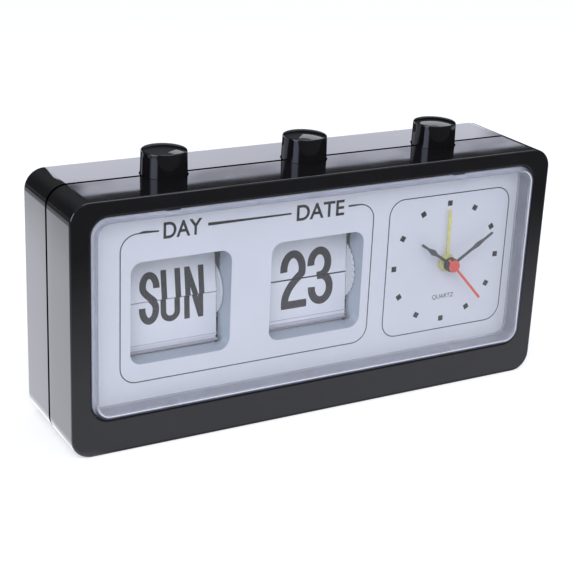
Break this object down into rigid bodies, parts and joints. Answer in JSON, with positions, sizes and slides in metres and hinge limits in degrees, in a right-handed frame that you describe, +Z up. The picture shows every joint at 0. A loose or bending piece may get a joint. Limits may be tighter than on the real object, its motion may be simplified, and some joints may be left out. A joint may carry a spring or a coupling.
{
  "type": "flip clock",
  "caption": "Black desk alarm clock with a flip day and a flip date worked by top buttons, beside a quartz dial, all behind one clear lens.",
  "frame": {"origin": "middle of the bounding box's bottom, on the table under the clock", "axes": "+X to the right of a person who reads the clock, +Y from the front to the back, +Z up"},
  "size_m": [0.176, 0.0412, 0.0919],
  "materials": {
    "case": "polished",
    "buttons": "polished",
    "knobs": "satin",
    "lens": "clear polished",
    "dial": "satin",
    "frame": "satin",
    "drums": "satin",
    "leaves": "matt",
    "steel": "satin",
    "movement": "satin",
    "alarm_yellow": "satin",
    "brass": "satin",
    "hands": "matt",
    "second_red": "matt",
    "board": "satin",
    "coil": "satin",
    "cell": "satin",
    "wires": "matt"
  },
  "bodies": {
    "case": {"front_shell": "case", "rear_shell": "case", "case_screws": "steel", "lens": "lens", "dial_plate": "dial", "flip_frame": "frame", "frame_screws": "steel", "button_rail": "frame", "rail_screws": "steel", "day_button_spring": "steel", "date_button_spring": "steel", "alarm_button_spring": "steel", "day_axle": "steel", "date_axle": "steel", "day_detent": "steel", "date_detent": "steel", "movement_front": "movement", "movement_rear": "movement", "movement_screws": "steel", "circuit_board": "board", "train_bridge": "brass", "drive_coil": "coil", "alarm_contact": "brass", "buzzer": "brass", "battery": "cell", "battery_spring": "steel", "battery_contacts": "steel", "battery_wires": "wires"},
    "day_button": {"day_button": "buttons", "day_pawl": "drums"},
    "day_drum": {"day_drum": "drums", "day_ratchet": "drums", "day_leaves": "leaves"},
    "day_flap": {"day_flap": "leaves"},
    "date_button": {"date_button": "buttons", "date_pawl": "drums"},
    "date_drum": {"date_drum": "drums", "date_ratchet": "drums", "date_leaves": "leaves"},
    "date_flap": {"date_flap": "leaves"},
    "alarm_button": {"alarm_button": "buttons"},
    "time_set": {"time_set_wheel": "movement", "time_set_knob": "knobs"},
    "minute_train": {"minute_wheel": "brass", "minute_hand": "hands"},
    "hour_train": {"hour_wheel": "movement", "hour_hand": "hands"},
    "alarm_set": {"alarm_set_pinion": "movement", "alarm_set_knob": "knobs"},
    "alarm_train": {"alarm_wheel": "alarm_yellow", "alarm_hand": "alarm_yellow"},
    "second_train": {"second_wheel": "brass", "second_hand": "second_red"},
    "drive_wheel": {"drive_wheel": "movement"},
    "rotor": {"rotor": "steel"},
    "battery_door": {"battery_door": "case"}
  },
  "joints": [
    {"name": "day_press", "type": "slide", "parent": "case", "child": "day_button", "axis": [0, 0, -1], "range_m": [0, 0.0025], "stiffness_N_per_m": 150, "springref_m": -0.002, "deforming": ["day_button_spring"]},
    {"name": "day_drum_turn", "type": "hinge", "parent": "case", "child": "day_drum", "pos_m": [-0.049, 0.0018, 0.04315], "axis": [1, 0, 0], "range_deg": [0, 12.86]},
    {"name": "day_flap_fall", "type": "hinge", "parent": "day_drum", "child": "day_flap", "pos_m": [-0.049, -0.00446, 0.04386], "axis": [1, 0, 0], "range_deg": [0, 171.65]},
    {"name": "date_press", "type": "slide", "parent": "case", "child": "date_button", "axis": [0, 0, -1], "range_m": [0, 0.0025], "stiffness_N_per_m": 150, "springref_m": -0.002, "deforming": ["date_button_spring"]},
    {"name": "date_drum_turn", "type": "hinge", "parent": "case", "child": "date_drum", "pos_m": [0, 0.0018, 0.04315], "axis": [1, 0, 0], "range_deg": [0, 11.62]},
    {"name": "date_flap_fall", "type": "hinge", "parent": "date_drum", "child": "date_flap", "pos_m": [0, -0.00447, 0.04379], "axis": [1, 0, 0], "range_deg": [0, 167.89]},
    {"name": "alarm_press", "type": "slide", "parent": "case", "child": "alarm_button", "axis": [0, 0, -1], "range_m": [0, 0.0025], "stiffness_N_per_m": 150, "springref_m": -0.002, "deforming": ["alarm_button_spring"]},
    {"name": "time_set_turn", "type": "hinge", "parent": "case", "child": "time_set", "pos_m": [0.04281, 0, 0.03626], "axis": [0, 1, 0], "continuous": true},
    {"name": "minute_turn", "type": "hinge", "parent": "case", "child": "minute_train", "pos_m": [0.0513, 0, 0.04475], "axis": [0, 1, 0], "continuous": true},
    {"name": "hour_turn", "type": "hinge", "parent": "case", "child": "hour_train", "pos_m": [0.0513, 0, 0.04475], "axis": [0, 1, 0], "continuous": true},
    {"name": "alarm_set_turn", "type": "hinge", "parent": "case", "child": "alarm_set", "pos_m": [0.05979, 0, 0.03626], "axis": [0, 1, 0], "continuous": true},
    {"name": "alarm_turn", "type": "hinge", "parent": "case", "child": "alarm_train", "pos_m": [0.0513, 0, 0.04475], "axis": [0, 1, 0], "continuous": true},
    {"name": "second_turn", "type": "hinge", "parent": "case", "child": "second_train", "pos_m": [0.0513, 0, 0.04475], "axis": [0, 1, 0], "continuous": true},
    {"name": "drive_turn", "type": "hinge", "parent": "case", "child": "drive_wheel", "pos_m": [0.0513, 0, 0.05225], "axis": [0, 1, 0], "continuous": true},
    {"name": "rotor_turn", "type": "hinge", "parent": "case", "child": "rotor", "pos_m": [0.05625, 0, 0.0572], "axis": [0, 1, 0], "continuous": true},
    {"name": "battery_door_pull", "type": "slide", "parent": "case", "child": "battery_door", "axis": [0, 1, 0], "range_m": [0, 0.012]}
  ],
  "couplings": [
    {"joint": "day_drum_turn", "follows": "day_press", "rad_per_m": 89.76},
    {"joint": "day_flap_fall", "follows": "day_press", "rad_per_m": 1198.3},
    {"joint": "date_drum_turn", "follows": "date_press", "rad_per_m": 81.073},
    {"joint": "date_flap_fall", "follows": "date_press", "rad_per_m": 1172.1},
    {"joint": "minute_turn", "follows": "time_set_turn", "ratio": -3},
    {"joint": "hour_turn", "follows": "time_set_turn", "ratio": -0.25},
    {"joint": "alarm_turn", "follows": "alarm_set_turn", "ratio": -0.25},
    {"joint": "drive_turn", "follows": "second_turn", "ratio": -5},
    {"joint": "rotor_turn", "follows": "second_turn", "ratio": 30}
  ]
}
